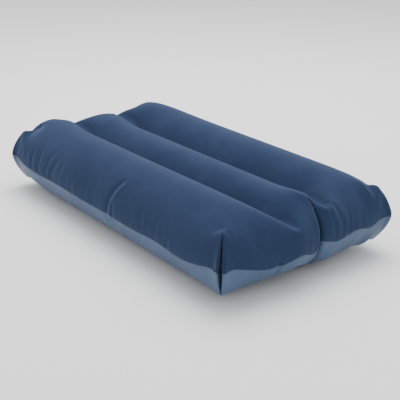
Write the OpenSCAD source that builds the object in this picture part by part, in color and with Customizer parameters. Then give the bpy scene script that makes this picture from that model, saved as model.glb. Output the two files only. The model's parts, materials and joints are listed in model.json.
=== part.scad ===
// Inflatable camp pillow: a flocked top panel and a smooth bottom panel welded round
// the edge, two ribs that split it into three air chambers, and a push-in valve at
// one end. Millimetres, +Z up, origin on the ground under the middle of the pillow.

/* [Pillow] */
// Length of the inflated pillow, from end seam to end seam
pillow_l = 480; // [420:10:560]
// Width of the inflated pillow, from side seam to side seam
pillow_w = 266; // [250:2:300]
// Height of the inflated pillow over the crest of an outer chamber
pillow_h = 100; // [96:2:106]
// Height of the edge weld above the ground
seam_z = 46; // [44:1:47]
// Radius of the rounded walls, seen from above
wall_r = 50; // [46:1:51]

/* [Chambers] */
// Distance from the middle line to each rib
rib_y = 38; // [34:1:42]
// Depth of the channel in the top over a rib
top_channel = 20; // [14:1:24]
// Depth of the channel in the underside below a rib
bottom_channel = 17; // [12:1:20]
// How much lower the crest of the middle chamber is than its neighbours
middle_low = 4; // [0:1:6]
// Width of the weld that holds a rib to a panel
rib_weld_w = 10; // [8:1:12]
// Length over which a channel runs out past the end of its rib
channel_run_out = 30; // [20:2:36]

/* [Film] */
// Thickness of the flocked film, with its pile
flock_t = 1; // [0.8:0.1:1.2]
// Thickness of the smooth film
film_t = 0.5; // [0.4:0.1:0.8]
// Width of the inward flange along which the two panels are welded
weld_w = 6; // [5:1:8]
// How far the weight of the pillow flattens the chambers on the ground
settle = 1.5; // [1:0.5:2]

/* [Valve] */
// Tilt of the valve's axis above the horizontal, in degrees
valve_tilt = 27; // [26:1:30]
// How deep the stiff valve flange flattens the round end wall
valve_seat = 4.5; // [4.3:0.1:4.7]
// Radius of the hole in the top panel for the valve
valve_hole_r = 9.4; // [9:0.1:10]
// Outer radius of the flange that is welded to the panel
flange_r = 13.5; // [12:0.5:14]
// Outer radius of the stem
stem_r = 6; // [5.5:0.1:6.2]
// Radius of the stem's bore
bore_r = 4.2; // [4:0.1:4.3]
// Length of the stem
stem_l = 13.4; // [12:0.2:14]
// Radial clearance between the plug and the bore
plug_clearance = 0.05; // [0.02:0.01:0.09]
// Length of the plug inside the bore
plug_l = 8; // [6:0.5:9]

/* [Hidden] */
$fn = 64;

flock_blue = [0.17, 0.23, 0.36];
film_blue = [0.25, 0.32, 0.46];
rib_blue = [0.30, 0.36, 0.48];
valve_vinyl = [0.80, 0.84, 0.88];

half_l = pillow_l / 2;
half_w = pillow_w / 2;
rib_half_l = half_l - wall_r;
crest_y = half_w - wall_r;

wall_steps = 12;      // facets over one rounded wall
end_spacing = 44;     // spacing of the facets along the straight part

// ---------- The panels' surfaces ----------

channel_in = rib_y - rib_weld_w / 2;
channel_out = rib_y + rib_weld_w / 2;
outer_run = crest_y - channel_out;

// A chamber's crest is an arc that drops by `depth` over the distance `run`.
function arc_r(run, depth) = (pow(run, 2) + pow(depth, 2)) / (2 * depth);
function arc_drop(run, depth, at) =
    let (r = arc_r(run, depth)) r - sqrt(pow(r, 2) - pow(at, 2));
// Half the width over which the ground presses a chamber flat.
function rest_half(run, depth) = sqrt(settle * (2 * arc_r(run, depth) - settle));

// One step of the grid is [position, share of the full height, how far round the wall].
function wall(half, steps) =
    [for (k = [0 : steps]) let (t = 90 * (1 - k / steps)) [-(half - wall_r), cos(t), sin(t)]];
function flat_steps(places) = [for (p = places) [p, 1, 0]];
function mirrored(steps) =
    [for (k = [len(steps) - 1 : -1 : 0]) [-steps[k][0], steps[k][1], -steps[k][2]]];
function both_ways(steps, middle) = concat(steps, middle, mirrored(steps));

length_count = floor(2 * rib_half_l / end_spacing);
length_steps = both_ways(
    wall(half_l, wall_steps),
    flat_steps([for (k = [1 : length_count - 1]) rib_half_l * (2 * k / length_count - 1)]));

outer_rest = crest_y - rest_half(outer_run, bottom_channel);
outer_places = [for (s = [1 : -1/3 : -0.01]) channel_out + (outer_rest - channel_out) * s];
inner_rest = rest_half(channel_in, bottom_channel);
inner_places = [channel_in, (channel_in + inner_rest) / 2, inner_rest];
half_places = concat(outer_places, inner_places);
width_steps = both_ways(
    concat(wall(half_w, wall_steps), flat_steps(-half_places)),
    flat_steps([0]));

// 1 over a rib, 0 well past its end.
function channel_share(x) =
    let (past = (abs(x) - rib_half_l) / channel_run_out)
    past <= 0 ? 1 : past >= 1 ? 0 : 0.5 + 0.5 * cos(180 * past);

// How far a panel lies inside the crests of the outer chambers at y.
function below_crest(y, depth, low) =
    let (a = abs(y))
    a < channel_in ? low + arc_drop(channel_in, depth - low, a)
    : a <= channel_out ? depth
    : a < crest_y ? arc_drop(outer_run, depth, crest_y - a)
    : 0;

// At a corner the two walls meet in a mitre, so the lower share of height holds.
function share(sx, sy) = min(sx[1], sy[1]);
function place(s, inset) = s[0] - (wall_r - inset) * s[2];
function top_z(x, y, share, inset) =
    let (drop = below_crest(y, top_channel, middle_low) * channel_share(x),
         base = seam_z + inset)
    base + (pillow_h - drop - inset - base) * share;
function bottom_z(x, y, share, inset) =
    let (drop = below_crest(y, bottom_channel, 0) * channel_share(x),
         base = seam_z - inset)
    base - (base - max(0, drop - settle) - inset) * share;

// The valve's flat seat cuts the round end wall across this normal, at this distance.
seat_normal = [-cos(valve_tilt), 0, sin(valve_tilt)];
wall_rise = pillow_h - seam_z;
seat_reach = norm([wall_r * cos(valve_tilt), wall_rise * sin(valve_tilt)]);
seat_distance = rib_half_l * cos(valve_tilt) + seam_z * sin(valve_tilt) + seat_reach - valve_seat;
seat_touch = [-rib_half_l - pow(wall_r, 2) * cos(valve_tilt) / seat_reach, 0,
              seam_z + pow(wall_rise, 2) * sin(valve_tilt) / seat_reach];
seat_centre = seat_touch - valve_seat * seat_normal;
// The seat is flat next to the middle line, and fades out before the ribs.
function seat_share(y) =
    min(1, max(0, (channel_in - abs(y)) / (channel_in - inner_places[1])));
function seated(p, inset) =
    let (over = p * seat_normal - (seat_distance - inset))
    over > 0 ? p - over * seat_share(p[1]) * seat_normal : p;

function top_point(sx, sy, inset) =
    let (x = place(sx, inset), y = place(sy, inset))
    seated([x, y, top_z(x, y, share(sx, sy), inset)], inset);
function bottom_point(sx, sy, inset) =
    let (x = place(sx, inset), y = place(sy, inset))
    [x, y, bottom_z(x, y, share(sx, sy), inset)];

// ---------- A panel as one closed shell: outside, inside and the weld flange ----------

nx = len(length_steps);
ny = len(width_steps);
sheet_size = nx * ny;
function at(i, j) = i * ny + j;
edge = concat([for (i = [0 : nx - 2]) at(i, 0)],
              [for (j = [0 : ny - 2]) at(nx - 1, j)],
              [for (i = [nx - 1 : -1 : 1]) at(i, ny - 1)],
              [for (j = [ny - 1 : -1 : 1]) at(0, j)]);
edge_size = len(edge);

// Each cell's diagonal runs out towards the nearest corner of the pillow.
function cell(i, j) =
    let (a = at(i, j), b = at(i + 1, j), c = at(i + 1, j + 1), d = at(i, j + 1))
    (i < nx / 2) == (j < ny / 2) ? [[a, b, c], [a, c, d]] : [[a, b, d], [b, c, d]];
sheet_faces = [for (i = [0 : nx - 2]) for (j = [0 : ny - 2]) each cell(i, j)];
function turned(faces) = [for (f = faces) [f[0], f[2], f[1]]];
function moved(faces, by) = [for (f = faces) [f[0] + by, f[1] + by, f[2] + by]];
function strip(from, to) =
    [for (k = [0 : edge_size - 1]) let (n = (k + 1) % edge_size)
        each [[from[k], to[k], to[n]], [from[k], to[n], from[n]]]];
function ring(start) = [for (k = [0 : edge_size - 1]) start + k];
function shrunk(p) =
    [p[0] * (1 - weld_w / half_l), p[1] * (1 - weld_w / half_w), p[2]];

outer_edge = edge;
inner_edge = [for (e = edge) e + sheet_size];
flange_inside = ring(2 * sheet_size);
flange_face = ring(2 * sheet_size + edge_size);

module shell(outside, inside, up) {
    flange_tip = [for (e = edge) shrunk(inside[e])];
    flange_foot = [for (p = flange_tip) [p[0], p[1], seam_z]];
    faces = concat(
        turned(sheet_faces),
        moved(sheet_faces, sheet_size),
        strip(inner_edge, flange_inside),
        strip(flange_inside, flange_face),
        strip(flange_face, outer_edge));
    polyhedron(concat(outside, inside, flange_tip, flange_foot), up ? faces : turned(faces));
}

module top_panel() {
    outside = [for (sx = length_steps) for (sy = width_steps) top_point(sx, sy, 0)];
    inside = [for (sx = length_steps) for (sy = width_steps) top_point(sx, sy, flock_t)];
    color(flock_blue)
    difference() {
        shell(outside, inside, true);
        in_valve() translate([0, 0, -5]) cylinder(r = valve_hole_r, h = 10);
    }
}

module bottom_panel() {
    outside = [for (sx = length_steps) for (sy = width_steps) bottom_point(sx, sy, 0)];
    inside = [for (sx = length_steps) for (sy = width_steps) bottom_point(sx, sy, film_t)];
    color(film_blue) shell(outside, inside, false);
}

// ---------- The ribs ----------

rib_top = pillow_h - top_channel - flock_t;
rib_bottom = bottom_channel - settle + film_t;

// A web of film with a welded foot along each panel.
module rib(y) {
    foot = rib_weld_w - 2;
    color(rib_blue)
    translate([-rib_half_l, y, 0]) {
        translate([0, -film_t / 2, rib_bottom])
            cube([2 * rib_half_l, film_t, rib_top - rib_bottom]);
        for (z = [rib_bottom, rib_top - film_t])
            translate([0, -foot / 2, z]) cube([2 * rib_half_l, foot, film_t]);
    }
}

// ---------- The valve, drawn along its own axis with the outside of the panel at 0 ----------

module in_valve() {
    translate(seat_centre) rotate([0, valve_tilt - 90, 0]) children();
}

module tube(outer, inner, from, to) {
    translate([0, 0, from])
    difference() {
        cylinder(r = outer, h = to - from);
        translate([0, 0, -1]) cylinder(r = inner, h = to - from + 2);
    }
}

base_t = 0.9;         // thickness of the welded flange
throat_r = 8.6;       // radius of the opening that the stem moves through
rim_up = 0.6;         // how far the base's rim stands out of the panel
skirt_t = 0.5;        // wall of the folding skirt
root_r = 6.9;         // radius of the collar at the stem's inner end
root_t = 1;           // its thickness
mouth = -0.5;         // where the stem's mouth lies when the valve is pushed in
bead_r = 6.6;         // radius of the bead round the mouth
bead_t = 1.5;
stem_root = mouth - stem_l;
base_back = -flock_t - base_t;

module valve_base() {
    color(valve_vinyl)
    in_valve() {
        tube(flange_r, throat_r, base_back, -flock_t);
        tube(valve_hole_r, throat_r, -flock_t, rim_up);
    }
}

// The thin wall between the base and the stem, which turns inside out as the stem moves.
module valve_skirt() {
    deep = stem_root + root_t;
    color(valve_vinyl)
    in_valve() rotate_extrude()
        polygon([[throat_r, base_back], [throat_r + skirt_t, base_back],
                 [root_r + skirt_t, deep - root_t], [root_r, deep - root_t], [root_r, deep]]);
}

module valve_stem() {
    color(valve_vinyl)
    in_valve() rotate_extrude()
        polygon([[bore_r, stem_root], [root_r, stem_root], [root_r, stem_root + root_t],
                 [stem_r, stem_root + root_t], [stem_r, mouth - bead_t],
                 [bead_r, mouth - bead_t], [bead_r, mouth], [bore_r, mouth]]);
}

flap_t = 0.5;         // thickness of the one-way flap
flap_r = 5.4;
flap_gap = 0.05;      // gap under the stem's end when the flap is shut
flap_hinge = 5.9;     // distance from the valve's axis to the flap's hinge line

// A disc on a tab, whose rounded end lies on the line that the vinyl bends about.
module valve_flap() {
    tab_w = 4;
    color(valve_vinyl)
    in_valve() translate([0, 0, stem_root - flap_gap - flap_t]) {
        cylinder(r = flap_r, h = flap_t);
        translate([0, -tab_w / 2, 0]) cube([flap_hinge, tab_w, flap_t]);
        translate([flap_hinge, tab_w / 2, flap_t / 2]) rotate([90, 0, 0])
            cylinder(d = flap_t, h = tab_w);
    }
}

head_r = 6.4;         // radius of the plug's head
head_t = 1.6;
head_gap = 0.05;      // gap between the head and the stem's mouth
pull_w = 5;           // width of the tab that a thumbnail lifts
pull_l = 1.6;
pull_t = 0.7;

module valve_plug() {
    shaft_r = bore_r - plug_clearance;
    tip = 1;
    top = mouth + head_gap;
    color(valve_vinyl)
    in_valve() {
        rotate_extrude()
            polygon([[0, top - plug_l], [shaft_r - tip / 2, top - plug_l],
                     [shaft_r, top - plug_l + tip], [shaft_r, top], [head_r, top],
                     [head_r, top + head_t], [0, top + head_t]]);
        translate([head_r - tip, -pull_w / 2, top + head_t - pull_t])
            cube([tip + pull_l, pull_w, pull_t]);
    }
}

// The strap that keeps the plug on the stem: it is moulded to both.
module plug_strap() {
    strap_w = 3;
    strap_t = 0.7;
    bow_out = 1.4;    // how far the strap stands out of the bead
    bow = bead_r + bow_out;
    low = mouth - bead_t;
    high = mouth + head_gap + head_t;
    color(valve_vinyl)
    in_valve() difference() {
        rotate([90, 0, 180]) translate([0, 0, -strap_w / 2]) linear_extrude(strap_w)
            polygon([[stem_r, low], [bow, low], [bow, high], [stem_r, high],
                     [stem_r, high - strap_t], [bow - strap_t, high - strap_t],
                     [bow - strap_t, low + strap_t], [stem_r, low + strap_t]]);
        translate([0, 0, low - 1]) cylinder(r = bead_r, h = mouth - low + 1);
        translate([0, 0, mouth]) cylinder(r = head_r, h = high - mouth + 1);
    }
}

top_panel();
bottom_panel();
rib(-rib_y);  // rib_front
rib(rib_y);  // rib_back
valve_base();
valve_skirt();
valve_stem();
valve_flap();
valve_plug();
plug_strap();
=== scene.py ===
"""An inflatable camp pillow: two welded sheets blown up over two ribs, with a push-in valve at one end."""
import json
import math

import bpy
import numpy as np
from mathutils import Matrix, Vector


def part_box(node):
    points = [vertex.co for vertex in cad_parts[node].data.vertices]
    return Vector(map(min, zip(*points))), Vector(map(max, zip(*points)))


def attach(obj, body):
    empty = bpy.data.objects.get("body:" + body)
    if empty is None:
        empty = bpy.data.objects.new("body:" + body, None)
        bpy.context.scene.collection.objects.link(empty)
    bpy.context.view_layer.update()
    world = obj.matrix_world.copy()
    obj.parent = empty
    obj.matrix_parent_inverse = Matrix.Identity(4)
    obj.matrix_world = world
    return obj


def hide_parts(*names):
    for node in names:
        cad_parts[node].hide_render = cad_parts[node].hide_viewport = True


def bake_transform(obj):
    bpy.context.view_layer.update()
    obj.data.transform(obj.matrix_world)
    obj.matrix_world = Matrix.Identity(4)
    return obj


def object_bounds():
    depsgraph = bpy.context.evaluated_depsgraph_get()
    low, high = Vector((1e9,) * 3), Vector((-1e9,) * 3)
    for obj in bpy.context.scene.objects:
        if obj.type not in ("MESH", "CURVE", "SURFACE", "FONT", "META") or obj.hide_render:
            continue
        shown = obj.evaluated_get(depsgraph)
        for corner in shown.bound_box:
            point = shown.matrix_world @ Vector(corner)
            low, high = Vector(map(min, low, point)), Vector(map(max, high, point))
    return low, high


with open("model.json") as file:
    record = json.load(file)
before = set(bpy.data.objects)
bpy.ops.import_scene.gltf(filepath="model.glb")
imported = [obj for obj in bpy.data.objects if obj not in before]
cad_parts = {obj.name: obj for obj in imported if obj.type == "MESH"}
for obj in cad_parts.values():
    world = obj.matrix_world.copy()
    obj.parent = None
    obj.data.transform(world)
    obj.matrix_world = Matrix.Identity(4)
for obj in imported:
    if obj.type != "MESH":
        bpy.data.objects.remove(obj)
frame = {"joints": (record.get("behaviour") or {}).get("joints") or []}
cad_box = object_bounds()

MM = 0.001

# ---- Sizes, in millimetres, from the CAD model ----

HALF_L = cad_box[1].x / MM
HALF_W = cad_box[1].y / MM
HEIGHT = cad_box[1].z / MM
RIB_Y = abs(sum(c.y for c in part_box("rib_front"))) / 2 / MM

TUBE_R = 0.505 * HEIGHT             # an outer tube, blown up
MIDDLE_R = 0.9 * TUBE_R             # the middle tube, between the ribs
SEAM_Z = 0.495 * HEIGHT
CORNER_X = HALF_L + 1               # where the tucked corners are creased
CORNER_Y = HALF_W + 2
RIB_HEIGHT = 0.475 * HEIGHT         # between the two sheets

# ---- The flat cut of each sheet ----

TUCK = 25.0                         # length of seam folded into each corner
TUCK_END = 14.0                     # depth at which a tuck's lips have closed
TUCK_MOUTH_UP = 36.0                # how far from the seam its mouth is open
CORNER_LEAN = 0.16                  # the corners' creases run back this much a millimetre,
CORNER_ARC = 0.6                    # besides this share of the walls' arc
CUT_L = CORNER_X + 27               # half its length
CUT_W = 1.327 * HALF_W              # half its width
CUT_RIB = 0.25 * CUT_W              # from the middle line to a rib's weld
RIB_NEAR = (CUT_L - 56, CUT_L - 84)  # the front and back ribs stop short of the seam,
RIB_FAR = CUT_L - 98                # more so at the valve end
SIDE_GATHER = 0.035                 # the weld's shrinkage along the long sides
END_GATHER = 0.045                  # and along the short ends
GATHER_REACH = 90.0                 # how far it is felt from the seam
SIDE_GATHER_FADE = 60.0             # and how far from each corner it fades out
END_GATHER_FADE = 30.0
FOLD_AT = 0.07 * CUT_W              # from the middle line to the deep fold in the end away from the valve
FOLD_REACH = 72.0                   # from the seam, along the sheet
FOLD_SPREAD = 30.0                  # beside it the film is gathered less
FOLD_DEPTH = 9.0
FOLD_HELD = 58.0                    # from the seam, the part whose place is given
TOUCH = 0.8                         # between the two lips of a tuck
MOUTH = 2.0                         # each lip stands off this much more where the tuck opens
FOLD_MOUTH = 1.3                    # and each lip of the fold this much
CORNER_REACH = 60.0                 # film this near to both seams can touch the other lip of its tuck
FOLD_BESIDE = 24.0                  # and film this near to the fold the other lip of the fold

# ---- The film, and the air ----

STIFFNESS = 0.2
BENDING = 0.045
PRESSURE = 0.0006                   # tension over stiffness, for each millimetre of radius
WEIGHT = 0.015                      # of a sheet, over the air's push on it
CELLS = (88, 56)                    # of the first grid
# (steps, resistance to being pushed together, damping) on each grid, each twice as fine as the last.
PASSES = ((600, 0.5, 0.98), (700, 1.0, 0.985), (90, 1.0, 0.97))

SHEETS, ACROSS, ALONG = 1, 3, 2     # axes of an array of points
FIRST, LAST = slice(None, -1), slice(1, None)
ALL = slice(None)
SEAMS = ((ALL, ALL, 0), (ALL, ALL, -1), (ALL, ALL, ALL, 0), (ALL, ALL, ALL, -1))


def smooth(t):
    """From 0 to 1 with no kink at either end."""
    t = np.clip(t, 0, 1)
    return t * t * (3 - 2 * t)


def flat_grid(cells):
    """The cut's own coordinates, and each point's distance from the short and the long seams."""
    u = np.linspace(-CUT_L, CUT_L, cells[0] + 1)
    v = np.linspace(-CUT_W, CUT_W, cells[1] + 1)
    u, v = np.meshgrid(u, v, indexing="ij")
    return u, v, CUT_L - np.abs(u), CUT_W - np.abs(v)


def tuck_depth(p, q):
    """How deep in a corner's tuck a point lies, and how far the crease has leaned in there."""
    near, far = np.minimum(p, q), np.maximum(p, q)
    arc = TUBE_R * (1 - np.cos(np.minimum(near / TUBE_R, math.pi / 2)))
    lean = CORNER_ARC * arc + CORNER_LEAN * near
    return TUCK + lean - far, lean


def fold_row(cells):
    """The grid line of the fold: the one nearest to it in the first grid."""
    return round((FOLD_AT / CUT_W + 1) / 2 * CELLS[1]) * cells[1] // CELLS[1]


FOLD_V = CUT_W * (2 * fold_row(CELLS) / CELLS[1] - 1)
FOLD_Y = FOLD_V * CORNER_Y / (CUT_W - TUCK)


def fold_depth(u, v, p):
    """How deep in the fold a point lies, and how much film the fold takes up on each side of it."""
    start = FOLD_HELD / 2
    taken = np.where(u > 0, FOLD_DEPTH * (1 - smooth((p - start) / (FOLD_REACH - start))), 0)
    return taken - np.abs(v - FOLD_V), taken


def first_shape(cells):
    """Both sheets, bent round the tubes, with the corners tucked in: (3, 2, along, across)."""
    u, v, p, q = flat_grid(cells)
    quarter = TUBE_R * math.pi / 2
    outer = TUBE_R * (math.pi / 2 + math.asin((CORNER_Y - TUBE_R - RIB_Y) / TUBE_R))
    inner = MIDDLE_R * math.asin(RIB_Y / MIDDLE_R)
    s = q * (outer + inner) / CUT_W
    turn, half_turn = s / TUBE_R, (outer + inner - s) / MIDDLE_R
    on_outer = s < outer
    y_top = np.where(on_outer, CORNER_Y - TUBE_R + TUBE_R * np.cos(turn), MIDDLE_R * np.sin(half_turn))
    rise = np.where(on_outer, TUBE_R * np.sin(turn), MIDDLE_R * np.cos(half_turn))
    end_turn = np.minimum(p / TUBE_R, math.pi / 2)
    flat_x = (CORNER_X - TUBE_R) * (CUT_L - p) / (CUT_L - quarter)
    x_top = np.where(p < quarter, CORNER_X - TUBE_R * (1 - np.cos(end_turn)), flat_x)
    rise = np.minimum(rise, TUBE_R * np.sin(end_turn))
    x_side = CUT_L - p + (CORNER_X + TUCK - CUT_L) * smooth(np.abs(u) / CUT_L)
    y_end = CORNER_Y * (CUT_W - q) / (CUT_W - TUCK)
    over_side, over_end = smooth(q / quarter), smooth(p / quarter)
    on_side = q < p
    x = np.where(on_side, x_side * (1 - over_side) + x_top * over_side, x_top)
    y = np.where(on_side, y_top, y_end * (1 - over_end) + y_top * over_end)

    depth, lean = tuck_depth(p, q)
    inward = lean + depth / math.sqrt(2)
    near = np.minimum(p, q)
    mouth = MOUTH * (1 - smooth(depth / TUCK_END)) * (1 - smooth(near / TUCK_MOUTH_UP))
    apart = np.where(p == q, 0, np.where(on_side, -1, 1)) * (TOUCH / 2 + mouth) * math.sqrt(0.5)
    x = np.where(depth > 0, CORNER_X - inward + apart, x)
    y = np.where(depth > 0, CORNER_Y - inward - apart, y)
    x, y = np.where(u < 0, -x, x), np.where(v < 0, -y, y)

    in_fold, taken = fold_depth(u, v, p)
    beside = np.sign(v - FOLD_V)
    shift = taken * CORNER_Y / (CUT_W - TUCK) * np.exp(np.minimum(in_fold, 0) / FOLD_SPREAD)
    mouth = FOLD_MOUTH * (1 - smooth(in_fold / FOLD_DEPTH)) * (1 - smooth(p / FOLD_HELD))
    shifted = y - np.where(taken > 0, beside * shift, 0)
    y = np.where(in_fold > 0, FOLD_Y + beside * (TOUCH / 2 + mouth), shifted)
    dent = np.maximum(in_fold, 0)
    x -= dent * np.cos(end_turn)
    rise -= dent * np.sin(end_turn)
    upper, lower = np.stack([x, y, SEAM_Z + rise]), np.stack([x, y, SEAM_Z - rise])
    return np.stack([upper, lower], SHEETS).astype(np.float32)


def rest_lengths(cells):
    """Unloaded lengths of the grid's lines along, across and on the diagonals, gathered near the seams."""
    u, v, p, q = flat_grid(cells)
    to_fold = np.where(u > 0, smooth(np.abs(v - FOLD_V) / FOLD_SPREAD), 1)
    along = 1 - SIDE_GATHER * (1 - smooth(q / GATHER_REACH)) * smooth(p / SIDE_GATHER_FADE)
    across = 1 - END_GATHER * (1 - smooth(p / GATHER_REACH)) * smooth(q / END_GATHER_FADE) * to_fold
    along = (along[1:] + along[:-1]) / 2 * 2 * CUT_L / cells[0]
    across = (across[:, 1:] + across[:, :-1]) / 2 * 2 * CUT_W / cells[1]
    diagonal = np.hypot((along[:, 1:] + along[:, :-1]) / 2, (across[1:] + across[:-1]) / 2)
    return [a.astype(np.float32) for a in (along, across, diagonal)]


def pull(points, force, a, b, rest, stiffness, push):
    """Adds the force of springs between the points a and b."""
    line = points[b] - points[a]
    length = np.sqrt((line * line).sum(0)) + np.float32(1e-6)
    strength = np.float32(stiffness) * (1 - rest / length)
    line *= np.where(strength < 0, strength * np.float32(push), strength)
    force[a] += line
    force[b] -= line


def bend(points, force):
    """Adds the film's resistance to bending."""
    curve = np.zeros_like(points)
    curve[:, :, 1:-1] = points[:, :, 2:] + points[:, :, :-2] - 2 * points[:, :, 1:-1]
    curve[..., 1:-1] += points[..., 2:] + points[..., :-2] - 2 * points[..., 1:-1]
    curve *= np.float32(BENDING * STIFFNESS)
    force[:, :, 2:] -= curve[:, :, 1:-1]
    force[:, :, :-2] -= curve[:, :, 1:-1]
    force[:, :, 1:-1] += 2 * curve[:, :, 1:-1]
    force[..., 2:] -= curve[..., 1:-1]
    force[..., :-2] -= curve[..., 1:-1]
    force[..., 1:-1] += 2 * curve[..., 1:-1]


def slopes(points):
    """Differences between neighbours, along and across, without dividing by anything."""
    along, across = np.empty_like(points), np.empty_like(points)
    along[:, :, 1:-1] = points[:, :, 2:] - points[:, :, :-2]
    along[:, :, 0] = points[:, :, 1] - points[:, :, 0]
    along[:, :, -1] = points[:, :, -1] - points[:, :, -2]
    across[..., 1:-1] = points[..., 2:] - points[..., :-2]
    across[..., 0] = points[..., 1] - points[..., 0]
    across[..., -1] = points[..., -1] - points[..., -2]
    return along, across


def outward(points):
    """Normals, out of the pillow, not yet of unit length."""
    a, b = slopes(points)
    n = np.stack([a[1] * b[2] - a[2] * b[1], a[2] * b[0] - a[0] * b[2], a[0] * b[1] - a[1] * b[0]])
    n[:, 1] *= -1
    return n


def unit_outward(points):
    """Normals of unit length, out of the pillow."""
    n = outward(points)
    return n / (np.sqrt((n * n).sum(0)) + 1e-9)


def rib_rows(cells):
    """The grid lines that the two ribs are welded along."""
    return [round((1 + side * CUT_RIB / CUT_W) / 2 * cells[1]) for side in (-1, 1)]


def rib_columns(cells):
    """Where along those lines each rib is."""
    u = np.linspace(-CUT_L, CUT_L, cells[0] + 1)
    return [np.nonzero((u >= -RIB_FAR) & (u <= near))[0] for near in RIB_NEAR]


def corner_sides(cells):
    """For each corner: its signs, and the grid points on its end's side and on its long side."""
    u, v, p, q = flat_grid(cells)
    near = (p < CORNER_REACH) & (q < CORNER_REACH)
    for sx in (-1, 1):
        for sy in (-1, 1):
            here = near & (np.sign(u) == sx) & (np.sign(v) == sy)
            yield sx, sy, np.nonzero(here & (p < q)), np.nonzero(here & (q < p))


def keep_apart(points, speed, cells_of, normal, offset, gap):
    """Stops points from crossing the upright plane normal . (x, y) = offset."""
    i, j = cells_of
    past = normal[0] * points[0][:, i, j] + normal[1] * points[1][:, i, j] - offset
    rate = normal[0] * speed[0][:, i, j] + normal[1] * speed[1][:, i, j]
    back = np.minimum(past - gap, 0)
    stop = np.where(back < 0, np.minimum(rate, 0), 0)
    for axis in (0, 1):
        points[axis][:, i, j] -= normal[axis] * back
        speed[axis][:, i, j] -= normal[axis] * stop


def relax(points, cells, steps, push, damping):
    """Lets film, air, ribs, weight and floor settle, with folds that don't pass through themselves."""
    along, across, diagonal = rest_lengths(cells)
    u, v, p, q = flat_grid(cells)
    corners = list(corner_sides(cells))
    ribs = list(zip(rib_rows(cells), rib_columns(cells)))
    row = np.broadcast_to(np.arange(cells[1] + 1), p.shape)
    fold = fold_row(cells)
    beside = round(FOLD_BESIDE / (2 * CUT_W / cells[1]))
    at_end = (p < FOLD_REACH) & (u > 0)
    left = np.nonzero(at_end & (row < fold) & (row >= fold - beside))
    right = np.nonzero(at_end & (row > fold) & (row <= fold + beside))
    in_fold = (fold_depth(u, v, p)[0] > 0) & (p < FOLD_HELD)
    held = np.nonzero((tuck_depth(p, q)[0] > 0) | in_fold)
    given = first_shape(cells)[:, :, held[0], held[1]]
    air = np.float32(PRESSURE) * np.float32(STIFFNESS / 4)
    weight = np.float32(WEIGHT * PRESSURE * STIFFNESS * 4 * CUT_L * CUT_W / (cells[0] * cells[1]))
    root = math.sqrt(0.5)
    speed = np.zeros_like(points)
    for _ in range(steps):
        force = np.zeros_like(points)
        pull(points, force, (ALL, ALL, FIRST), (ALL, ALL, LAST), along, STIFFNESS, push)
        pull(points, force, (ALL, ALL, ALL, FIRST), (ALL, ALL, ALL, LAST), across, STIFFNESS, push)
        pull(points, force, (ALL, ALL, FIRST, FIRST), (ALL, ALL, LAST, LAST), diagonal, STIFFNESS / 2, push)
        pull(points, force, (ALL, ALL, FIRST, LAST), (ALL, ALL, LAST, FIRST), diagonal, STIFFNESS / 2, push)
        bend(points, force)
        force += air * outward(points)
        for j, columns in ribs:
            tie = points[:, 0, columns, j] - points[:, 1, columns, j]
            length = np.sqrt((tie * tie).sum(0))
            tie *= np.float32(STIFFNESS) * np.maximum(0, 1 - np.float32(RIB_HEIGHT) / length)
            force[:, 0, columns, j] -= tie
            force[:, 1, columns, j] += tie
        force[2] -= weight
        for seam in SEAMS:
            force[seam] = force[seam].mean(1, keepdims=True)
        speed = (speed + force) * np.float32(damping)
        points += speed

        points[:, :, held[0], held[1]] = given
        speed[:, :, held[0], held[1]] = 0
        floor = points[2] < 0
        points[2][floor] = 0
        speed[2][floor] = 0
        for sx, sy, end_side, long_side in corners:
            across_corner = (sx * root, -sy * root)
            middle = (CORNER_X - CORNER_Y) * root
            keep_apart(points, speed, end_side, across_corner, middle, TOUCH / 2)
            keep_apart(points, speed, long_side, (-sx * root, sy * root), -middle, TOUCH / 2)
        keep_apart(points, speed, left, (0, -1), -FOLD_Y, TOUCH / 2)
        keep_apart(points, speed, right, (0, 1), FOLD_Y, TOUCH / 2)
    return points


def halve(points, axis):
    """Twice as many cells along an axis, on smooth curves through the points."""
    a = np.moveaxis(points, axis, 0)
    fine = np.empty((2 * len(a) - 1, *a.shape[1:]), a.dtype)
    fine[::2] = a
    fine[1::2] = (a[1:] + a[:-1]) / 2
    fine[3:-3:2] = (9 * (a[1:-2] + a[2:-1]) - a[:-3] - a[3:]) / 16
    return np.moveaxis(fine, 0, axis)


def blown_up():
    """The pillow's shape, and the size of its last grid."""
    cells = CELLS
    points = first_shape(cells)
    for k, (steps, push, damping) in enumerate(PASSES):
        if k:
            cells = (2 * cells[0], 2 * cells[1])
            points = halve(halve(points, ALONG), ACROSS)
        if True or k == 0:
            points = relax(points, cells, steps, push, damping)
    return points, cells


# ---- The seam's height and the creases that the weld leaves ----

# Where the seam sags on each side: (place along the side, half width, how far down).
SEAM_SAGS = {
    "front": ((-170, 60, 7), (-40, 90, 8), (80, 60, 7), (172, 40, 9)),
    "back": ((-150, 45, 9), (10, 60, 3), (165, 35, 7)),
    "right": ((-72, 40, 15), (-8, 18, 13), (52, 25, 8), (108, 18, 6)),
    "left": ((-95, 30, 9), (40, 35, 6), (110, 20, 8)),
}
SAG_REACH = 85.0                    # the sheets are shifted this far from the seam
CORNER_FADE = (34.0, 60.0)          # no sag in the tucked corners


def sag(side, place, from_corner):
    """How far the seam has moved down, at places along one side."""
    total = sum(drop * np.exp(-(((place - at) / width) ** 2)) for at, width, drop in SEAM_SAGS[side])
    return total * smooth((from_corner - CORNER_FADE[0]) / (CORNER_FADE[1] - CORNER_FADE[0]))


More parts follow.
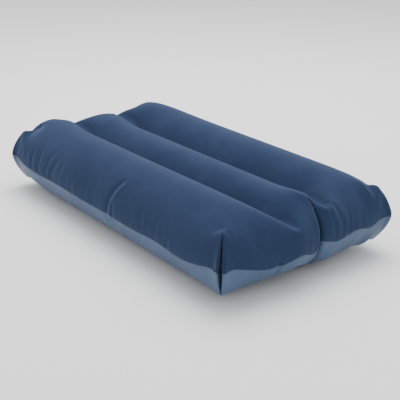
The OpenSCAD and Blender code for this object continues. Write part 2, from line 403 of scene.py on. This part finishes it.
def shift_seam(near, drops, spacing):
    """Slides the seam along the pillow's wall. near is (3, 2, lines, rows from the seam in)."""
    lines, rows = near.shape[2:]
    distance = np.arange(rows) * spacing
    both = np.concatenate([near[:, 1, :, :0:-1], near[:, 0]], axis=2)
    out = near.copy()
    fade = 1 - distance / distance[-1]
    for k in range(lines):
        for sheet, way in ((0, -1), (1, 1)):
            where = distance + way * drops[k] * fade
            at = (where if sheet == 0 else -where) / spacing + rows - 1
            for axis in range(3):
                out[axis, sheet, k] = np.interp(at, np.arange(2 * rows - 1), both[axis, k])
    return out


def sag_seams(points, cells):
    """Lets the seam sag on all four sides."""
    u = np.linspace(-CUT_L, CUT_L, cells[0] + 1)
    v = np.linspace(-CUT_W, CUT_W, cells[1] + 1)
    du, dv = 2 * CUT_L / cells[0], 2 * CUT_W / cells[1]
    rows = round(SAG_REACH / dv) + 1
    for side, flip in (("front", False), ("back", True)):
        part = points[..., ::-1] if flip else points
        part[..., :rows] = shift_seam(part[..., :rows], sag(side, u, CUT_L - np.abs(u)), dv)
    rows = round(SAG_REACH / du) + 1
    for side, flip in (("left", False), ("right", True)):
        part = points[:, :, ::-1] if flip else points
        near = part[:, :, :rows].swapaxes(2, 3)
        part[:, :, :rows] = shift_seam(near, sag(side, v, CUT_W - np.abs(v)), du).swapaxes(2, 3)


# Creases on the walls: (place along the side, lean, from and to above the seam, depth, width).
CREASES = {
    "front": (
        (20, 0.34, -16, 48, 1.7, 4.5), (33, 0.0, -8, 24, 1.0, 3.5), (148, 0.1, -4, 13, 0.9, 3.0),
        (-178, 0.05, 4, 30, 0.5, 4.0), (-158, 0.1, 2, 38, 0.6, 4.2), (-138, 0.35, 4, 44, 0.5, 4.4),
        (-121, 0.4, 2, 30, 0.6, 4.0), (-103, 0.3, 0, 34, 0.4, 3.6), (-82, 0.1, 0, 22, 0.4, 3.2),
    ),
    "back": (
        (-40, -0.3, -14, 48, 1.9, 4.5), (-52, 0.0, -8, 24, 1.2, 3.4), (118, 0.2, 0, 34, 0.8, 4.0),
        (136, 0.3, 2, 40, 0.7, 4.2), (153, 0.35, 3, 28, 0.6, 3.6), (-170, -0.1, 0, 28, 0.7, 3.6),
    ),
    "right": (
        (-66, 0.05, -18, 14, 1.4, 3.6), (60, -0.3, 8, 50, 0.9, 4.0), (44, -0.15, 6, 44, 0.7, 3.6),
    ),
    "left": (
        (-84, 0.1, -16, 20, 1.4, 3.6), (78, 0.2, 4, 40, 0.8, 4.0), (-66, 0.1, 4, 30, 0.7, 3.6),
    ),
}
CREASE_ENDS = (6.0, 14.0)           # a crease fades over these lengths at its lower and upper end,
CREASE_TOP = 10.0                   # and the upper fade starts this far below its top
LEAN_POWER, LEAN_SCALE = 1.5, 6.0   # it runs aside by its lean * height ** power / scale
CREASE_RIDGE = 0.4                  # height of the ridge beside it, over its depth,
RIDGE_BESIDE = 1.7                  # and that ridge's distance, over its width
CREASE_REACH = 80.0                 # no creases further than this from the seam,
CREASE_CORNER = 30.0                # nor nearer than this to a corner, and full depth at twice that
FINE_CREASES = 44                   # along a long side
FINE_SPREAD = 0.82                  # they keep to this share of the side
FINE_TOP = (12, 34)                 # least and most of each, as in the next four
FINE_BOTTOM = (-6, 6)
FINE_LEAN = (-0.15, 0.3)
FINE_DEPTH = (0.08, 0.3)
FINE_WIDTH = (2.2, 4)
CREASE_SEED = 11


def crease(along, up, at, lean, low, high, depth, width):
    """How far a fold moves the film out: a groove with a ridge beside it."""
    across = (along - at - lean * np.maximum(up, 0) ** LEAN_POWER / LEAN_SCALE) / width
    above_low = smooth((up - low) / CREASE_ENDS[0] + 0.5)
    above_high = smooth((up - high + CREASE_TOP) / CREASE_ENDS[1])
    length = above_low * (1 - above_high)
    ridge = CREASE_RIDGE * np.exp(-((across - RIDGE_BESIDE) ** 2))
    return depth * length * (ridge - np.exp(-(across**2)))


def wall_creases(side, along, up, half_length):
    """The large folds of a side, and many faint ones just above its seam."""
    total = sum(crease(along, up, *each) for each in CREASES[side])
    random = np.random.default_rng(CREASE_SEED + list(CREASES).index(side))
    for _ in range(round(FINE_CREASES * half_length / CUT_L)):
        at = random.uniform(-FINE_SPREAD, FINE_SPREAD) * half_length
        high = random.uniform(*FINE_TOP)
        low = random.uniform(*FINE_BOTTOM)
        lean = random.uniform(*FINE_LEAN)
        depth = random.uniform(*FINE_DEPTH)
        width = random.uniform(*FINE_WIDTH)
        total = total + crease(along, up, at, lean, low, high, depth, width)
    return total


def press_creases(points, cells):
    """Moves the film in and out along its normal at every crease."""
    u, v, p, q = flat_grid(cells)
    normals = unit_outward(points)
    for sheet, way in ((0, 1), (1, -1)):
        move = np.zeros_like(u)
        for side, along, distance, half, here in (
            ("front", u, q, CUT_L, v < 0), ("back", u, q, CUT_L, v > 0),
            ("left", v, p, CUT_W, u < 0), ("right", v, p, CUT_W, u > 0),
        ):
            from_corner = half - np.abs(along)
            faded = smooth((from_corner - CREASE_CORNER) / CREASE_CORNER)
            share = np.where(here & (distance < CREASE_REACH), faded, 0)
            move += share * wall_creases(side, along, way * distance, half)
        points[:, sheet] += move * normals[:, sheet]
    for seam in SEAMS:
        points[seam] = points[seam].mean(1, keepdims=True)


# ---- The valve's seat ----

RIM_PROUD = 0.6                     # the valve's rim stands this far out of the panel
HOLE_R = 9.4
HOLE_MARGIN = 0.4                   # grid points this far inside the hole are cut away
SEAT_R = 15.0                       # the flat seat's radius,
SEAT_FADE = 26.0                    # how far beyond it the flatness fades out,
SEAT_DEPTH = 40.0                   # and how far off the plane film can still be pressed onto it


def valve_axis():
    """The valve's own direction, out of the pillow, and the centre of its flat seat in the panel."""
    slide = next(j for j in frame["joints"] if j["name"] == "stem_slide")
    axis = Vector(slide["axis"]).normalized()
    base = [Vector(v.co) for v in bpy.data.objects["valve_base"].data.vertices]
    centre = sum(base, Vector()) / len(base)
    rim_top = max((v - centre).dot(axis) for v in base)
    return axis, (centre + axis * (rim_top - RIM_PROUD * MM)) / MM


def seat_valve(points):
    """Flattens the top sheet round the valve onto the CAD model's plane, and finds the points in its hole."""
    axis, centre = valve_axis()
    axis, centre = np.array(axis), np.array(centre)
    sheet = points[:, 0]
    off = sheet - centre[:, None, None]
    height = np.tensordot(axis, off, 1)
    flat = off - axis[:, None, None] * height
    radius = np.sqrt((flat * flat).sum(0))
    near = (radius < SEAT_R + SEAT_FADE) & (np.abs(height) < SEAT_DEPTH)
    share = np.where(near, 1 - smooth((radius - SEAT_R) / SEAT_FADE), 0)
    sheet -= axis[:, None, None] * height * share
    hole = near & (radius < HOLE_R - HOLE_MARGIN)
    around = np.zeros_like(hole)
    for down in (-1, 0, 1):
        for right in (-1, 0, 1):
            around |= np.roll(hole, (down, right), (0, 1))
    reach = np.where(around & ~hole, HOLE_R / radius - 1, 0)
    sheet += flat * reach
    return hole


# ---- Meshes ----

GROOVE = 1.1                        # how far the weld is pulled in
FLANGE = 5.5                        # the welded edge inside the pillow
WELD_GAP = 0.03                     # of each sheet from the middle of the weld
WELD_ROUNDS = 3                     # of smoothing the direction that the flange points in
SHEET_T = {"top": 1.0, "bottom": 0.5}


def add_mesh(name, verts, faces, material):
    """A smooth-shaded mesh object."""
    mesh = bpy.data.meshes.new(name)
    mesh.from_pydata([tuple(v) for v in verts], [], [tuple(f) for f in faces])
    mesh.validate()
    mesh.shade_smooth()
    mesh.materials.append(material)
    piece = bpy.data.objects.new(name, mesh)
    bpy.context.scene.collection.objects.link(piece)
    return piece


def thicken(piece, thickness, offset=-1):
    """Gives a surface the film's thickness, and keeps it as plain mesh."""
    solid = piece.modifiers.new("Thickness", "SOLIDIFY")
    solid.thickness = thickness * MM
    solid.offset = offset
    graph = bpy.context.evaluated_depsgraph_get()
    made = bpy.data.meshes.new_from_object(piece.evaluated_get(graph))
    piece.modifiers.clear()
    piece.data = made
    return piece


def edge_loop(nx, ny):
    """Grid indices of the sheet's edge, once round."""
    index = np.arange(nx * ny).reshape(nx, ny)
    return np.concatenate([index[:-1, 0], index[-1, :-1], index[:0:-1, -1], index[0, :0:-1]])


def panel(name, points, sheet, material, hole=None):
    """One sheet of the pillow, with its edge turned in and welded to the other's inside."""
    nx, ny = points.shape[2:]
    normals = unit_outward(points)
    grid = points[:, sheet].reshape(3, -1).T.astype(float)
    loop = edge_loop(nx, ny)
    inward = -(normals[:, 0] + normals[:, 1]).reshape(3, -1).T[loop]
    inward /= np.linalg.norm(inward, axis=1)[:, None] + 1e-9
    for _ in range(WELD_ROUNDS):
        inward = inward + np.roll(inward, 1, 0) + np.roll(inward, -1, 0)
        inward /= np.linalg.norm(inward, axis=1)[:, None] + 1e-9
    seam = grid[loop].copy()
    i, j = np.divmod(loop, ny)
    inner = np.clip(i, 1, nx - 2) * ny + np.clip(j, 1, ny - 2)
    grid[loop] = seam + 0.5 * (grid[inner] - seam)
    side = WELD_GAP * (1 if sheet == 0 else -1) * np.array([0, 0, 1])
    weld = seam + inward * GROOVE + side
    flange = seam + inward * FLANGE + side
    verts = np.concatenate([grid, weld, flange]) * MM
    n, edge = nx * ny, len(loop)
    index = np.arange(n).reshape(nx, ny)
    quads = np.stack([index[:-1, :-1], index[1:, :-1], index[1:, 1:], index[:-1, 1:]], -1)
    if hole is not None:
        open_cells = hole[:-1, :-1] | hole[1:, :-1] | hole[1:, 1:] | hole[:-1, 1:]
        quads = quads[~open_cells]
    quads = quads.reshape(-1, 4)
    after = np.roll(np.arange(edge), -1)
    start = np.arange(edge)
    turned = np.stack([loop[after], loop[start], n + start, n + after], -1)
    welded = np.stack([n + after, n + start, n + edge + start, n + edge + after], -1)
    faces = np.concatenate([quads, turned, welded])
    if sheet == 1:
        faces = faces[:, ::-1]
    piece = add_mesh(name, verts, faces.tolist(), material)
    return thicken(piece, SHEET_T["top" if sheet == 0 else "bottom"])


RIB_T = 0.5                         # thickness
RIB_WELD = 4                        # grid lines of a weld, to either side of the rib
RIB_ROWS = 10


def rib(name, points, row, columns, material):
    """A strip of film between the sheets, with a welded foot on each."""
    normals = unit_outward(points)
    lift = np.array([SHEET_T["top"], SHEET_T["bottom"]])[:, None, None] + RIB_T / 2
    inside = points - normals * lift
    top, bottom = inside[:, 0][:, columns, row], inside[:, 1][:, columns, row]
    verts, faces = [], []

    def strip(lines):
        """Adds the faces between lines of points."""
        base = len(verts)
        for line in lines:
            verts.extend(line.T * MM)
        n = len(columns)
        for r in range(len(lines) - 1):
            for c in range(n - 1):
                k = base + r * n + c
                faces.append((k, k + 1, k + n + 1, k + n))

    strip([top + (bottom - top) * r / RIB_ROWS for r in range(RIB_ROWS + 1)])
    for sheet in (0, 1):
        rows = range(row - RIB_WELD, row + RIB_WELD + 1)
        strip([inside[:, sheet][:, columns, r] for r in rows])
    piece = add_mesh(name, verts, faces, material)
    return thicken(piece, RIB_T, offset=0)


# ---- Valve pieces that bend ----

SKIRT_T = 0.45
SKIRT_FOLDS = 4                     # rings that let it turn inside out
SKIRT_FOLD_DEPTH = 0.2
FOLD_RINGS = 12                     # lines of points for each of those
TURNED_SEGMENTS = 64
STRAP_T = 0.7
STRAP_COLUMNS = 9                   # points across the strap
BOW_STEPS = 16                      # round its bow
STRAP_WAIST = 0.8                   # its width in the middle, as a share of its ends'


def on_valve(node):
    """A valve piece's lowest and highest points along the valve's axis, and its largest distance from it."""
    axis, seat = valve_axis()
    offsets = [v.co / MM - seat for v in bpy.data.objects[node].data.vertices]
    heights = [o.dot(axis) for o in offsets]
    radii = [(o - axis * h).length for o, h in zip(offsets, heights)]
    return min(heights), max(heights), max(radii)


def valve_skirt(material):
    """The thin ringed wall from the base's throat down to the collar of the stem."""
    axis, seat = valve_axis()
    low, high, top_r = on_valve("valve_skirt")
    _, _, root_r = on_valve("valve_stem")
    top_r, root_r = top_r - SKIRT_T / 2, root_r + SKIRT_T / 2
    side = axis.orthogonal().normalized()
    other = axis.cross(side)
    rings = FOLD_RINGS * SKIRT_FOLDS
    verts = []
    for ring in range(rings + 1):
        t = ring / rings
        r = top_r + (root_r - top_r) * t + SKIRT_FOLD_DEPTH * math.sin(2 * math.pi * SKIRT_FOLDS * t)
        centre = seat + axis * (high + (low - high) * t)
        for k in range(TURNED_SEGMENTS):
            a = 2 * math.pi * k / TURNED_SEGMENTS
            verts.append((centre + (side * math.cos(a) + other * math.sin(a)) * r) * MM)
    faces = []
    for ring in range(rings):
        for k in range(TURNED_SEGMENTS):
            a = ring * TURNED_SEGMENTS + k
            b = ring * TURNED_SEGMENTS + (k + 1) % TURNED_SEGMENTS
            faces.append((a, b, b + TURNED_SEGMENTS, a + TURNED_SEGMENTS))
    piece = thicken(add_mesh("skirt", verts, faces, material), SKIRT_T, offset=0)
    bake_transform(piece)
    return piece


def plug_strap(material):
    """A narrow band that bows out from the stem and back in to the head of the plug."""
    axis, seat = valve_axis()
    low, high, bow_r = on_valve("plug_strap")
    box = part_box("plug_strap")
    corners = [v.co / MM for v in bpy.data.objects["plug_strap"].data.vertices]
    out = sum(corners, Vector()) / len(corners) - seat
    out = (out - axis * out.dot(axis)).normalized()
    across = axis.cross(out)
    half_width = (box[1].y - box[0].y) / 2 / MM
    bend_r = (high - low - STRAP_T) / 2
    middle_w, middle_r = (high + low) / 2, bow_r - STRAP_T / 2 - bend_r
    path = [(middle_r - bend_r, middle_w - bend_r)]
    for k in range(BOW_STEPS + 1):
        a = math.pi * (k / BOW_STEPS - 0.5)
        path.append((middle_r + bend_r * math.cos(a), middle_w + bend_r * math.sin(a)))
    path.append((middle_r - bend_r, middle_w + bend_r))
    verts, faces = [], []
    for n, (r, w) in enumerate(path):
        waist = 1 - (1 - STRAP_WAIST) * math.sin(math.pi * n / (len(path) - 1)) ** 2
        for k in range(STRAP_COLUMNS):
            y = (2 * k / (STRAP_COLUMNS - 1) - 1) * half_width * waist
            verts.append((seat + axis * w + out * r + across * y) * MM)
    for n in range(len(path) - 1):
        for k in range(STRAP_COLUMNS - 1):
            a = n * STRAP_COLUMNS + k
            faces.append((a, a + 1, a + STRAP_COLUMNS + 1, a + STRAP_COLUMNS))
    piece = thicken(add_mesh("strap", verts, faces, material), STRAP_T, offset=0)
    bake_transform(piece)
    return piece


# ---- Materials ----

class Paint:
    """A node material, built a node at a time."""

    def __init__(self, name):
        self.material = bpy.data.materials.new(name)
        self.material.use_nodes = True
        self.nodes = self.material.node_tree.nodes
        self.links = self.material.node_tree.links
        self.shader = self.nodes["Principled BSDF"]
        self.place = self.nodes.new("ShaderNodeTexCoord").outputs["Object"]

    def set(self, **values):
        """Numbers and colours that are the same all over the surface."""
        for key, value in values.items():
            self.shader.inputs[key.replace("_", " ")].default_value = value

    def noise(self, scale, detail=2.0, roughness=0.5, stretch=None, distortion=0.0):
        """A noise pattern, about 0 to 1."""
        node = self.nodes.new("ShaderNodeTexNoise")
        node.inputs["Scale"].default_value = scale
        node.inputs["Detail"].default_value = detail
        node.inputs["Roughness"].default_value = roughness
        node.inputs["Distortion"].default_value = distortion
        place = self.place
        if stretch:
            mapping = self.nodes.new("ShaderNodeMapping")
            mapping.inputs["Scale"].default_value = stretch
            self.links.new(place, mapping.inputs["Vector"])
            place = mapping.outputs["Vector"]
        self.links.new(place, node.inputs["Vector"])
        return node.outputs["Fac"]

    def curve(self, value, low, high, out_low=0.0, out_high=1.0):
        """Stretches a value from one range to another."""
        node = self.nodes.new("ShaderNodeMapRange")
        for key, number in zip(("From Min", "From Max", "To Min", "To Max"), (low, high, out_low, out_high)):
            node.inputs[key].default_value = number
        self.links.new(value, node.inputs["Value"])
        return node.outputs["Result"]

    def mix(self, share, a, b):
        """A colour between two others, each a socket or a value."""
        node = self.nodes.new("ShaderNodeMix")
        node.data_type = "RGBA"
        for key, value in (("Factor", share), ("A", a), ("B", b)):
            socket = next(s for s in node.inputs if s.name == key and s.enabled)
            if isinstance(value, bpy.types.NodeSocket):
                self.links.new(value, socket)
            else:
                socket.default_value = value
        return next(s for s in node.outputs if s.enabled)

    def math(self, how, a, b):
        """Arithmetic on two values, each a socket or a number."""
        node = self.nodes.new("ShaderNodeMath")
        node.operation = how
        for socket, value in zip(node.inputs, (a, b)):
            if isinstance(value, bpy.types.NodeSocket):
                self.links.new(value, socket)
            else:
                socket.default_value = value
        return node.outputs[0]

    def bump(self, height, distance, strength, onto=None):
        """A normal that follows a height, in metres, on top of another normal if there is one."""
        node = self.nodes.new("ShaderNodeBump")
        node.inputs["Distance"].default_value = distance
        node.inputs["Strength"].default_value = strength
        self.links.new(height, node.inputs["Height"])
        if onto:
            self.links.new(onto, node.inputs["Normal"])
        return node.outputs["Normal"]

    def finish(self, colour, roughness, normal=None):
        """Links what varies over the surface, and gives the material."""
        for key, value in (("Base Color", colour), ("Roughness", roughness), ("Normal", normal)):
            if value is not None:
                self.links.new(value, self.shader.inputs[key])
        return self.material


def flock():
    """Short velour pile glued to the film: a fine grain, brushed patches and a soft sheen."""
    paint = Paint("flock")
    fibre = paint.noise(1500, 3, 0.7)
    tuft = paint.noise(420, 3, 0.6)
    brushed = paint.noise(26, 4, 0.55, stretch=(1.0, 1.0, 0.6), distortion=0.6)
    cloud = paint.noise(7, 2, 0.5)
    colour = paint.mix(paint.curve(brushed, 0.35, 0.65), (0.015, 0.029, 0.069, 1), (0.021, 0.037, 0.085, 1))
    colour = paint.mix(paint.curve(cloud, 0.3, 0.7, 0, 0.35), colour, (0.025, 0.042, 0.091, 1))
    grain = paint.curve(paint.math("ADD", fibre, tuft), 0.7, 1.3)
    colour = paint.mix(grain, paint.mix(0.28, colour, (0.010, 0.018, 0.040, 1)), colour)
    paint.set(Sheen_Weight=0.2, Sheen_Roughness=0.4, Sheen_Tint=(0.5, 0.65, 1.0, 1), Specular_IOR_Level=0.1)
    normal = paint.bump(tuft, 0.0004, 0.5)
    normal = paint.bump(fibre, 0.00018, 0.6, onto=normal)
    return paint.finish(colour, paint.curve(tuft, 0.2, 0.8, 0.86, 0.98), normal)


def film(name="film", light=(0.056, 0.094, 0.172, 1), dark=(0.042, 0.072, 0.138, 1)):
    """Smooth soft vinyl, a little paler than the pile, with a satin skin and faint press marks."""
    paint = Paint(name)
    skin = paint.noise(900, 2, 0.5)
    waves = paint.noise(60, 3, 0.5, distortion=0.4)
    cloud = paint.noise(12, 2, 0.5)
    colour = paint.mix(paint.curve(cloud, 0.3, 0.7), dark, light)
    paint.set(Specular_IOR_Level=0.25, Sheen_Weight=0.05, Sheen_Roughness=0.5, Sheen_Tint=(0.7, 0.8, 1, 1))
    normal = paint.bump(waves, 0.0012, 0.35)
    normal = paint.bump(skin, 0.0001, 0.35, onto=normal)
    return paint.finish(colour, paint.curve(waves, 0.3, 0.7, 0.42, 0.56), normal)


def milky_vinyl():
    """Soft moulded vinyl: cloudy, glossy, with light scattering a little way in."""
    paint = Paint("valve_vinyl")
    cloud = paint.noise(90, 3, 0.5)
    skin = paint.noise(1400, 2, 0.5)
    colour = paint.mix(paint.curve(cloud, 0.3, 0.7), (0.60, 0.66, 0.72, 1), (0.74, 0.79, 0.83, 1))
    paint.set(Subsurface_Weight=0.35, Subsurface_Radius=(0.0012, 0.0014, 0.0018), Specular_IOR_Level=0.5)
    normal = paint.bump(skin, 0.00006, 0.3)
    return paint.finish(colour, paint.curve(cloud, 0.3, 0.7, 0.24, 0.36), normal)


def floor_paint():
    """A plain pale floor."""
    paint = Paint("floor")
    cloud = paint.noise(3, 2, 0.5)
    colour = paint.mix(cloud, (0.90, 0.90, 0.90, 1), (0.93, 0.93, 0.93, 1))
    return paint.finish(colour, paint.curve(cloud, 0.3, 0.7, 0.75, 0.85))


# ---- The pillow ----

def build_pillow():
    """The two panels and the two ribs."""
    points, cells = blown_up()
    sag_seams(points, cells)
    press_creases(points, cells)
    hole = seat_valve(points)
    top = panel("pillow_top", points, 0, flock(), hole)
    bottom = panel("pillow_bottom", points, 1, film())
    rib_paint = film("rib_film", (0.072, 0.115, 0.215, 1), (0.055, 0.092, 0.180, 1))
    names = ("rib_strip_front", "rib_strip_back")
    front, back = (
        rib(name, points, row, columns, rib_paint)
        for name, row, columns in zip(names, rib_rows(cells), rib_columns(cells))
    )
    for piece, node, slot in (
        (top, "top_panel", "flock"),
        (bottom, "bottom_panel", "film"),
        (front, "rib_front", "rib_film"),
        (back, "rib_back", "rib_film"),
    ):
        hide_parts(node)
        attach(piece, "pillow")


def build_valve():
    """The valve's hard pieces stay as the CAD model has them; the two that bend are made here."""
    vinyl = milky_vinyl()
    for node in ("valve_base", "valve_stem", "valve_flap", "valve_plug"):
        for slot in bpy.data.objects[node].material_slots:
            slot.material = vinyl
    for piece, node in ((valve_skirt(vinyl), "valve_skirt"), (plug_strap(vinyl), "plug_strap")):
        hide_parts(node)


# ---- Camera, light and floor ----

LENS = 71.0                         # millimetres, as is the sensor's width
AZIMUTH, ELEVATION, ROLL = 51.87, 21.73, 0.78
DISTANCE = 1060.9                   # from the middle of the pillow
ASIDE, LIFT = 21.3, -26.1           # the middle of the view, from the middle of the pillow
SENSOR = 36

SKY = 1.05
OVERHEAD_AT = (-0.4, 0.35, 1.55)    # metres, as are the light's size and the floor
OVERHEAD_SIZE = 1.4
OVERHEAD_POWER = 36
FLOOR_HALF = 6.0


def add_camera():
    """The camera, looking at the pillow's near corner from above."""
    data = bpy.data.cameras.new("camera")
    data.lens = LENS
    data.sensor_width = SENSOR
    camera = bpy.data.objects.new("camera", data)
    bpy.context.scene.collection.objects.link(camera)
    a, e, r = (math.radians(x) for x in (AZIMUTH, ELEVATION, ROLL))
    back = Vector((math.sin(a) * math.cos(e), -math.cos(a) * math.cos(e), math.sin(e)))
    right = Vector((math.cos(a), math.sin(a), 0))
    up = back.cross(right)
    at = Vector((0, 0, HEIGHT / 2)) + right * ASIDE + up * LIFT + back * DISTANCE
    right, up = right * math.cos(r) + up * math.sin(r), up * math.cos(r) - right * math.sin(r)
    turn = Matrix((right, up, back)).transposed().to_4x4()
    camera.matrix_world = Matrix.Translation(at * MM) @ turn
    bpy.context.scene.camera = camera


def add_area(name, at, size, power):
    """A soft light that faces the floor under the middle of the pillow."""
    data = bpy.data.lights.new(name, "AREA")
    data.shape = "RECTANGLE"
    data.size, data.size_y = size
    data.energy = power
    light = bpy.data.objects.new(name, data)
    bpy.context.scene.collection.objects.link(light)
    light.location = at
    light.rotation_mode = "QUATERNION"
    light.rotation_quaternion = Vector(at).to_track_quat("Z", "Y")


def add_studio():
    """Soft light from all round, one large light above and behind, and the floor."""
    world = bpy.data.worlds.new("world")
    world.use_nodes = True
    sky = world.node_tree.nodes["Background"]
    sky.inputs["Color"].default_value = (1, 1, 1, 1)
    sky.inputs["Strength"].default_value = SKY
    bpy.context.scene.world = world
    add_area("overhead", OVERHEAD_AT, (OVERHEAD_SIZE, OVERHEAD_SIZE), OVERHEAD_POWER)
    ground = add_mesh(
        "floor",
        [(x * FLOOR_HALF, y * FLOOR_HALF, 0) for x, y in ((-1, -1), (1, -1), (1, 1), (-1, 1))],
        [(0, 1, 2, 3)],
        floor_paint(),
    )


add_camera()
add_studio()
build_pillow()
build_valve()
